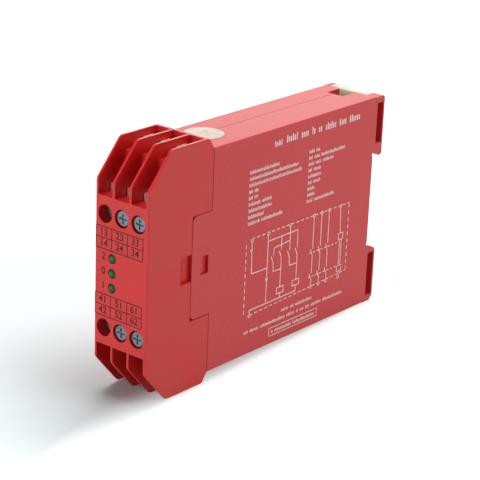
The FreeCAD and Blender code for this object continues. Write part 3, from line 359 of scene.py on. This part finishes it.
class Pen:
    """Draws bars and rings on the side or the front, at millimetres along that face and above the foot."""

    def __init__(self, name, on_side):
        self.on_side = on_side
        self.tilt = (0, math.pi / 2, 0) if on_side else (math.pi / 2, 0, 0)
        bpy.ops.object.select_all(action="DESELECT")
        mesh = bpy.data.meshes.new(name)
        self.piece = bpy.data.objects.new(name, mesh)
        bpy.context.scene.collection.objects.link(self.piece)
        bpy.context.view_layer.objects.active = self.piece
        self.piece.select_set(True)
        bpy.ops.object.mode_set(mode="EDIT")

    def spot(self, along, height):
        """A point on the pen's face."""
        return place(RIGHT_SIDE / MM, along, height) if self.on_side else place(along, 0, height)

    def bar(self, start, end, width):
        """A bar from start to end, both pairs of millimetres."""
        middle = self.spot((start[0] + end[0]) / 2, (start[1] + end[1]) / 2)
        run, rise = end[0] - start[0], end[1] - start[1]
        length = math.hypot(run, rise)
        bpy.ops.mesh.primitive_plane_add(size=MM, location=middle, rotation=self.tilt)
        stretch = (1, length, width) if self.on_side else (length, 1, width)
        bpy.ops.transform.resize(value=stretch, center_override=middle)
        if abs(rise) > LEVEL_WITHIN:
            lean = math.atan2(rise, run)
            axis, turn = ("X", -lean) if self.on_side else ("Y", lean)
            bpy.ops.transform.rotate(value=turn, orient_axis=axis, center_override=middle)
        bpy.ops.mesh.select_all(action="DESELECT")

    def path(self, points, width):
        """Bars from each point to the next."""
        for start, end in zip(points, points[1:]):
            self.bar(start, end, width)

    def box(self, low, high, width):
        """The four sides of a rectangle."""
        corners = [low, (high[0], low[1]), high, (low[0], high[1]), low]
        self.path(corners, width)

    def ring(self, centre, radius, width, sides):
        """A ring of short bars."""
        step = 2 * math.pi / sides
        points = [(centre[0] + radius * math.cos(step * number),
                   centre[1] + radius * math.sin(step * number)) for number in range(sides + 1)]
        self.path(points, width)

    def lift(self, material, body):
        """Leaves edit mode and gives the ink its thickness, its finish and its place."""
        bpy.ops.object.mode_set(mode="OBJECT")
        solid = self.piece.modifiers.new("ink", "SOLIDIFY")
        solid.thickness = INK * MM
        solid.offset = 1
        bpy.ops.object.modifier_apply(modifier="ink")
        self.piece.data.materials.append(material)
        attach(self.piece, body)
        print(self.piece.name, len(self.piece.data.polygons), "faces")


# %% [markdown]
# Two inks are used: a white one on the side and a black one on the front. Both are thin, so the red shows
# through in small clouds. A see-through shader would be heavier for the same look, so the clouds are mixed
# into the ink's own colour.

# %% Inks
white_ink, tree, shader, coordinates = new_finish("white_ink", (0.84, 0.72, 0.72), 0.6)
rubbed = noise(tree, coordinates, 1.1, detail=4)
tint(tree, shader, rubbed, (0.72, 0.46, 0.46), (0.88, 0.80, 0.80), high=0.55)

black_ink, tree, shader, coordinates = new_finish("black_ink", (0.05, 0.012, 0.012), 0.6)
shader.inputs["Specular IOR Level"].default_value = 0.2
rubbed = noise(tree, coordinates, 0.9, detail=4)
tint(tree, shader, rubbed, (0.03, 0.01, 0.01), (0.12, 0.02, 0.02), 0.4, 0.8)
print("inks done")

# %% [markdown]
# The lines on the side stand for text and say nothing: they are rows of fine upright ticks, some of them
# taller, with gaps between the words. Real letters could be drawn as text objects, but at this size only
# their rhythm shows. The widths and gaps are shares of a line's pitch.

# %% A line of ticks
TICKS_PER_PLACE = 2
TICK_WIDTH = 0.27
LOW_TICK = 0.74
WORD_GAP = 0.8


def tick_line(pen, start, baseline, words, pitch, height):
    """A row of ticks that looks like text from afar; each word is given by how many places it takes."""
    depth = start
    count = 0
    for places in words:
        for _ in range(TICKS_PER_PLACE * places):
            reaches_up = count % 5 == 0 or count % 7 == 3
            tall = height if reaches_up else height * LOW_TICK
            middle_line = baseline + tall / 2
            pen.bar((depth, middle_line), (depth + pitch * TICK_WIDTH, middle_line), tall)
            depth += pitch / TICKS_PER_PLACE
            count += 1
        depth += pitch * WORD_GAP


# %% [markdown]
# The side print holds a title, two columns of small lines and three lines at the foot, the last in a box.
# Each line is given by where it starts, its baseline, the places of its words, and the pitch and height of
# a place.

# %% Side print: words
SMALL_PITCH = 1.02
COLUMN_HEIGHT = 1.3
FOOT_HEIGHT = 1.2
LINE_STEP = 2.2
TITLE_LINES = ((60.3, 70.8, (3,), 1.35, 2.0),
               (66.5, 71.0, (3, 2, 1, 1, 3, 2, 3), 2.05, 2.5))
NAMES_AT, VALUES_AT = (48.0, 64.0), (79.1, 64.4)
NAMES = ((15,), (25,), (27,), (2, 2), (2, 2), (6, 5), (12,), (8,), (6, 11))
VALUES = ((3, 2), (2, 3, 13), (3, 3, 6), (2, 4), (7,), (2, 4), (4,), (4,), (3, 11))
FOOT_LINES = ((67.9, 10.3, (4, 2, 9), SMALL_PITCH, FOOT_HEIGHT),
              (48.2, 7.6, (2, 4, 12, 4, 1, 2, 2, 5, 10), 1.12, FOOT_HEIGHT),
              (63.0, 3.8, (1, 9, 12), 1.0, FOOT_HEIGHT))
FOOT_BOX = ((61.7, 3.0), (88.0, 5.9), 0.25)

side = Pen("side_print_words", on_side=True)
for line in TITLE_LINES:
    tick_line(side, *line)
for number, both in enumerate(zip(NAMES, VALUES)):
    for (start, top_line), words in zip((NAMES_AT, VALUES_AT), both):
        tick_line(side, start, top_line - LINE_STEP * number, words, SMALL_PITCH, COLUMN_HEIGHT)
for line in FOOT_LINES:
    tick_line(side, *line)
side.box(*FOOT_BOX)
side.lift(white_ink, "module")

# %% [markdown]
# The circuit is a plain one of this kind of relay: supply and start contacts on the left, three safety
# contacts and one fused path on the right, all inside a dashed frame. It is drawn with the same bars. The
# signs that come back several times, such as a contact or a terminal, are helpers that draw one at a place.

# %% Side print: signs of the circuit
LINE = 0.32
TERMINAL_RADIUS, TERMINAL_SIDES = 0.6, 10
CONTACT_HALF, CONTACT_LEAN = 1.3, 1.2
ARROW_HALF, ARROW_TAIL, ARROW_TIP = 0.6, 1.0, 0.5


def dashes(pen, start, end, dash=1.5, gap=1.1):
    """A dashed line from start to end."""
    run, rise = end[0] - start[0], end[1] - start[1]
    length = math.hypot(run, rise)
    for number in range(int(length / (dash + gap)) + 1):
        first = number * (dash + gap) / length
        last = min(first + dash / length, 1)
        if first < last:
            ends = [(start[0] + run * share, start[1] + rise * share) for share in (first, last)]
            pen.bar(*ends, LINE)


def contact(pen, depth, height):
    """A switch contact: its arm leans away from the wire it closes."""
    pen.bar((depth, height - CONTACT_HALF), (depth - CONTACT_LEAN, height + CONTACT_HALF), LINE)


def terminal(pen, depth, height):
    """A terminal: a small ring."""
    pen.ring((depth, height), TERMINAL_RADIUS, LINE, TERMINAL_SIDES)


def arrow(pen, depth, height):
    """An arrow head that points down the wire."""
    tail = height + ARROW_TAIL
    pen.path([(depth - ARROW_HALF, tail), (depth, height - ARROW_TIP), (depth + ARROW_HALF, tail)], LINE)


# %% [markdown]
# The dashed frame goes round everything. Inside it on the left are the supply, the start contacts and the
# two coils. The wires are lists of corners, as depth and height, so that a wire can be moved without
# touching the others.

# %% Side print: frame and control half
FRAME_LEFT, FRAME_RIGHT, FRAME_LOW, FRAME_HIGH = 47.7, 103.6, 15.0, 41.3
FRAME_SIDES = (((50.5, FRAME_HIGH), (FRAME_RIGHT, FRAME_HIGH)),
               ((50.8, FRAME_LOW - 1), (FRAME_RIGHT, FRAME_LOW + 1)),
               ((FRAME_LEFT, FRAME_LOW), (FRAME_LEFT, FRAME_HIGH - 1.5)),
               ((FRAME_RIGHT, FRAME_LOW + 1), (FRAME_RIGHT, FRAME_HIGH)))
CONTROL_TERMINALS = ((50.6, 40.8), (59.2, 41.0), (70.9, 41.0), (50.7, 13.9))
CONTROL_WIRES = (((50.6, 40.0), (50.9, 28.8), (59.0, 28.7)),
                 ((59.1, 40.3), (59.1, 16.5)),
                 ((59.1, 38.2), (75.0, 38.4), (75.1, 32.0)),
                 ((70.9, 40.3), (71.0, 32.0)),
                 ((62.4, 32.2), (62.4, 35.0), (71.0, 35.6)),
                 ((66.4, 38.2), (66.4, 33.2)),
                 ((62.3, 29.6), (62.4, 26.6), (66.5, 26.4)),
                 ((66.5, 30.6), (66.5, 20.0)),
                 ((71.0, 29.4), (71.2, 26.4), (75.1, 26.3)),
                 ((75.2, 29.4), (75.2, 20.3)),
                 ((50.7, 14.5), (50.6, 15.8), (75.1, 16.0), (75.1, 18.2)),
                 ((66.6, 16.0), (66.6, 17.7)))
START_CONTACTS = ((62.3, 30.9), (66.5, 31.9), (71.0, 30.7), (75.2, 30.7))
COILS = (((64.8, 17.7), (68.4, 19.9)), ((73.2, 18.2), (76.9, 20.2)))
ARROWS = ((50.5, 36.6), (59.1, 24.1))

circuit = Pen("side_print_circuit", on_side=True)
for start, end in FRAME_SIDES:
    dashes(circuit, start, end)
for depth, height in CONTROL_TERMINALS:
    terminal(circuit, depth, height)
for wire in CONTROL_WIRES:
    circuit.path(wire, LINE)
for depth, height in START_CONTACTS:
    contact(circuit, depth, height)
for low, high in COILS:
    circuit.box(low, high, LINE)
for depth, height in ARROWS:
    arrow(circuit, depth, height)
print("control half drawn")

# %% [markdown]
# On the right, three equal safety paths run from a terminal at the top to one at the bottom, each with two
# contacts that move together, which the dashed links show. They are one loop. The fused path beside them is
# drawn from its own listed wires, because there is only one.

# %% Side print: safety paths and fused path
SAFETY_PATHS = (83.8, 88.1, 92.3)
PATH_TOP, PATH_LOW = 41.2, 15.1
UPPER_CONTACTS, LOWER_CONTACTS = 27.9, 18.9
WIRE_STARTS = 0.7
LINK_HEIGHTS = (27.8, 18.9)
LINK_LEFT, LINK_RIGHT = 82.0, 99.4
FUSED_WIRES = (((98.8, 40.3), (99.3, 31.0)), ((99.2, 28.6), (99.2, 18.8)),
               ((100.2, 28.6), (100.2, 18.8)), ((99.4, 16.6), (99.4, 15.2)))
FUSED_BOXES = (((98.4, 28.6), (100.9, 31.0)), ((98.4, 16.6), (100.9, 18.8)))
FUSED_TERMINALS = ((98.8, 41.0), (99.4, 14.6))

for depth in SAFETY_PATHS:
    terminal(circuit, depth, PATH_TOP)
    terminal(circuit, depth, PATH_LOW)
    wire_ends = [PATH_TOP - WIRE_STARTS, UPPER_CONTACTS + CONTACT_HALF, UPPER_CONTACTS - CONTACT_HALF,
                 LOWER_CONTACTS + CONTACT_HALF, LOWER_CONTACTS - CONTACT_HALF, PATH_LOW + WIRE_STARTS]
    for top, bottom in zip(wire_ends[::2], wire_ends[1::2]):
        circuit.bar((depth, top), (depth, bottom), LINE)
    contact(circuit, depth, UPPER_CONTACTS)
    contact(circuit, depth, LOWER_CONTACTS)
for height in LINK_HEIGHTS:
    dashes(circuit, (LINK_LEFT, height), (LINK_RIGHT, height), dash=1.1, gap=1.0)
for depth, height in FUSED_TERMINALS:
    terminal(circuit, depth, height)
for wire in FUSED_WIRES:
    circuit.path(wire, LINE)
for low, high in FUSED_BOXES:
    circuit.box(low, high, LINE)
circuit.lift(white_ink, "module")

# %% [markdown]
# The front carries two ruled tables, above and below the lamps. The rules are bars again. Each table is
# given by its two side edges, the heights of its three rules and the places of its two inner rules.

# %% Front print: rules
front = Pen("front_print_rules", on_side=False)
RULE = 0.3
TABLES = {"upper": ((-10.85, 9.15), (53.35, 49.7, 46.0), (-4.15, 2.6)),
          "lower": ((-10.9, 9.05), (30.7, 27.0, 23.4), (-4.3, 2.85))}
for (left_edge, right_edge), heights, inner_rules in TABLES.values():
    for height in heights:
        front.bar((left_edge, height), (right_edge, height), RULE)
    for across in (left_edge, *inner_rules, right_edge):
        front.bar((across, heights[0]), (across, heights[-1]), RULE)
front.lift(black_ink, "module")

# %% [markdown]
# The tables hold the terminal numbers, and each lamp has a number beside it. They are text objects, because
# Blender draws the figures well, where bars would look stiff. Each is made a mesh, turned upright and laid
# on the hood.

# %% Front print: numbers
NUMBERS = {"upper": (("13", "23", "33"), ("14", "24", "34")),
           "lower": (("41", "51", "61"), ("42", "52", "62"))}
LAMP_NUMBERS = (("2", 43.57), ("0", 38.56), ("1", 33.65))
LAMP_NUMBERS_ACROSS = -7.6
NUMBER_SIZE = 3.4
STROKE_GROWTH = 0.05


def front_number(name, words, across, height):
    """A number on the front face, centred at a place, as thick as the ink."""
    bpy.ops.object.select_all(action="DESELECT")
    bpy.ops.object.text_add()
    text = bpy.context.object
    text.name = name
    text.data.body = words
    text.data.size = NUMBER_SIZE * MM
    text.data.align_x = "CENTER"
    text.data.align_y = "CENTER"
    text.data.extrude = INK * MM / 2
    text.data.offset = STROKE_GROWTH * MM
    bpy.ops.object.convert(target="MESH")
    piece = bpy.context.object
    upright = Matrix.Rotation(math.pi / 2, 4, "X")
    piece.data.transform(Matrix.Translation(place(across, -INK / 2, height)) @ upright)
    piece.data.materials.append(black_ink)
    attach(piece, "module")


for table, ((left_edge, right_edge), heights, inner_rules) in TABLES.items():
    edges = (left_edge, *inner_rules, right_edge)
    for row, row_numbers in enumerate(NUMBERS[table]):
        row_middle = (heights[row] + heights[row + 1]) / 2
        for column, number in enumerate(row_numbers):
            column_middle = (edges[column] + edges[column + 1]) / 2
            front_number(f"number_{table}_{row}_{column}", number, column_middle, row_middle)
for number, height in LAMP_NUMBERS:
    front_number(f"lamp_number_{number}", number, LAMP_NUMBERS_ACROSS, height)
print("front numbers done")

# %% [markdown]
# The floor has to be white to the camera and still keep a soft grey shadow. Stronger lamps would bleach the
# module as well, so the floor gets a light of its own instead, which only the camera, gloss and glass see.
# This cell tells those rays from the light that falls on things. The room, further on, uses it too.

# %% What is seen directly
def seen_directly(tree):
    """1 for rays from the camera, in gloss and through glass, and 0 for the light that falls on things."""
    path = tree.nodes.new("ShaderNodeLightPath")
    either = tree.nodes.new("ShaderNodeMath")
    either.operation = "MAXIMUM"
    tree.links.new(path.outputs["Is Camera Ray"], either.inputs[0])
    tree.links.new(path.outputs["Is Glossy Ray"], either.inputs[1])
    any_of_three = tree.nodes.new("ShaderNodeMath")
    any_of_three.operation = "MAXIMUM"
    tree.links.new(either.outputs[0], any_of_three.inputs[0])
    tree.links.new(path.outputs["Is Transmission Ray"], any_of_three.inputs[1])
    return any_of_three.outputs[0]


# %% [markdown]
# The floor is matt and a shade bluer than white, which evens out the red that the module throws on it. It
# mirrors nothing, because a floor that mirrors would double the module's edge.

# %% Floor finish
FLOOR_COLOUR = (0.73, 0.80, 0.80)
GLOW_COLOUR = (0.95, 1.0, 1.0)
floor_white = bpy.data.materials.new("floor_white")
floor_white.use_nodes = True
tree = floor_white.node_tree
shader = tree.nodes["Principled BSDF"]
shader.inputs["Base Color"].default_value = (*FLOOR_COLOUR, 1)
shader.inputs["Roughness"].default_value = 0.9
shader.inputs["Specular IOR Level"].default_value = 0.0
shader.inputs["Emission Color"].default_value = (*GLOW_COLOUR, 1)
floor.data.materials.append(floor_white)
print("floor colour", FLOOR_COLOUR)

# %% [markdown]
# The floor's own light is painted light on the floor. It is nothing at the hood's contact with the floor,
# which leaves a painted shadow round the real contact shadow, and grows softly round it. It grows faster to
# the right, which paints out the module's shadow there, and is full far away. So there are three fades, and
# the strongest counts. Each is given by the millimetres where it starts and ends and by its strength.

# %% Floor's painted light
# Painted shade round the contact and painted light on the right: the fades of the floor's own light.
CONTACT_BEHIND_FRONT = 8
PAINTED_SHADE_ROUND_FADE = (12, 80, 0.38)
PAINTED_LIGHT_RIGHT_FADE = (-3, 17, 0.60)
FAR_FADE = (80, 500, 1.0)


def floor_math(operation, first, second=None):
    """One sum of the floor's light."""
    step = tree.nodes.new("ShaderNodeMath")
    step.operation = operation
    for number, value in enumerate((first, second)):
        if value is not None:
            tree.links.new(value, step.inputs[number])
    return step.outputs[0]


def fade(value, start_mm, end_mm, most):
    """Nothing up to the start, then softly up to the most at the end."""
    spread = tree.nodes.new("ShaderNodeMapRange")
    spread.interpolation_type = "SMOOTHSTEP"
    spread.inputs["From Min"].default_value = start_mm * MM
    spread.inputs["From Max"].default_value = end_mm * MM
    spread.inputs["To Min"].default_value = 0.0
    spread.inputs["To Max"].default_value = most
    tree.links.new(value, spread.inputs["Value"])
    return spread.outputs["Result"]


from_contact = tree.nodes.new("ShaderNodeMapping")
from_contact.inputs["Location"].default_value = (0, -FRONT - CONTACT_BEHIND_FRONT * MM, 0)
coordinates = tree.nodes.new("ShaderNodeTexCoord")
tree.links.new(coordinates.outputs["Object"], from_contact.inputs["Vector"])
split = tree.nodes.new("ShaderNodeSeparateXYZ")
tree.links.new(from_contact.outputs["Vector"], split.inputs["Vector"])
squares = [floor_math("MULTIPLY", split.outputs[axis], split.outputs[axis]) for axis in ("X", "Y")]
distance = floor_math("SQRT", floor_math("ADD", *squares))
# The floor's painted light: low round the contact, which is a painted shadow, and high on the right, which
# paints the shadow out.
painted_light_near = floor_math("MAXIMUM", fade(distance, *PAINTED_SHADE_ROUND_FADE), fade(split.outputs["X"], *PAINTED_LIGHT_RIGHT_FADE))
painted_floor_light = floor_math("MAXIMUM", painted_light_near, fade(distance, *FAR_FADE))
painted_floor_light = floor_math("MULTIPLY", painted_floor_light, seen_directly(tree))
tree.links.new(painted_floor_light, shader.inputs["Emission Strength"])
print("floor light starts", CONTACT_BEHIND_FRONT, "mm behind the front face")

# %% [markdown]
# The room is white where it is seen and in gloss, and gives only a little light, so that the shadows under
# the terminals and in the holes stay deep.

# %% Room
ROOM_LIGHT = 0.10
ROOM_SEEN = 1.0
world = bpy.data.worlds.new("pale_room")
bpy.context.scene.world = world
world.use_nodes = True
tree = world.node_tree
room = tree.nodes["Background"]
room.inputs["Color"].default_value = (1, 1, 1, 1)
brightness = tree.nodes.new("ShaderNodeMapRange")
brightness.inputs["To Min"].default_value = ROOM_LIGHT
brightness.inputs["To Max"].default_value = ROOM_SEEN
tree.links.new(seen_directly(tree), brightness.inputs["Value"])
tree.links.new(brightness.outputs["Result"], room.inputs["Strength"])
print("room gives", ROOM_LIGHT, "and is seen at", ROOM_SEEN)

# %% [markdown]
# Four soft square lamps light the module. The one overhead is the strongest and makes the roof the palest
# face. The one on the right lights the long side, a low one in front lights the face without reaching under
# the overhangs, and one behind on the left keeps the far side and the floor there from going dull. Each is
# given by its place in metres, its width and its power.

# %% Lamps
LAMPS = (("right", (0.75, 0.10, 0.50), 0.5, 3.3),
         ("overhead", (-0.05, 0.05, 0.90), 0.6, 4.8),
         ("front", (-0.12, -0.90, 0.10), 0.35, 3.7),
         ("behind_left", (-0.50, 0.70, 0.40), 0.6, 3.1))


def soft_lamp(name, spot, target, width, power):
    """A square area lamp that faces a target."""
    light = bpy.data.lights.new(name, "AREA")
    light.size = width
    light.energy = power
    lamp = bpy.data.objects.new(name, light)
    bpy.context.scene.collection.objects.link(lamp)
    facing = (target - spot).to_track_quat("-Z", "Y").to_matrix().to_4x4()
    lamp.matrix_world = Matrix.Translation(spot) @ facing
    print(name, power, "W")


middle = (cad_low + cad_high) / 2
for name, spot, width, power in LAMPS:
    soft_lamp(name, Vector(spot), middle, width, power)
bpy.context.scene.view_settings.view_transform = "Standard"

# %% [markdown]
# The last step compares the finished model's size with the CAD model's.

# %% Size
low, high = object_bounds()
print("grown by mm:", [round(value / MM, 3) for value in [*(cad_low - low), *(high - cad_high)]])
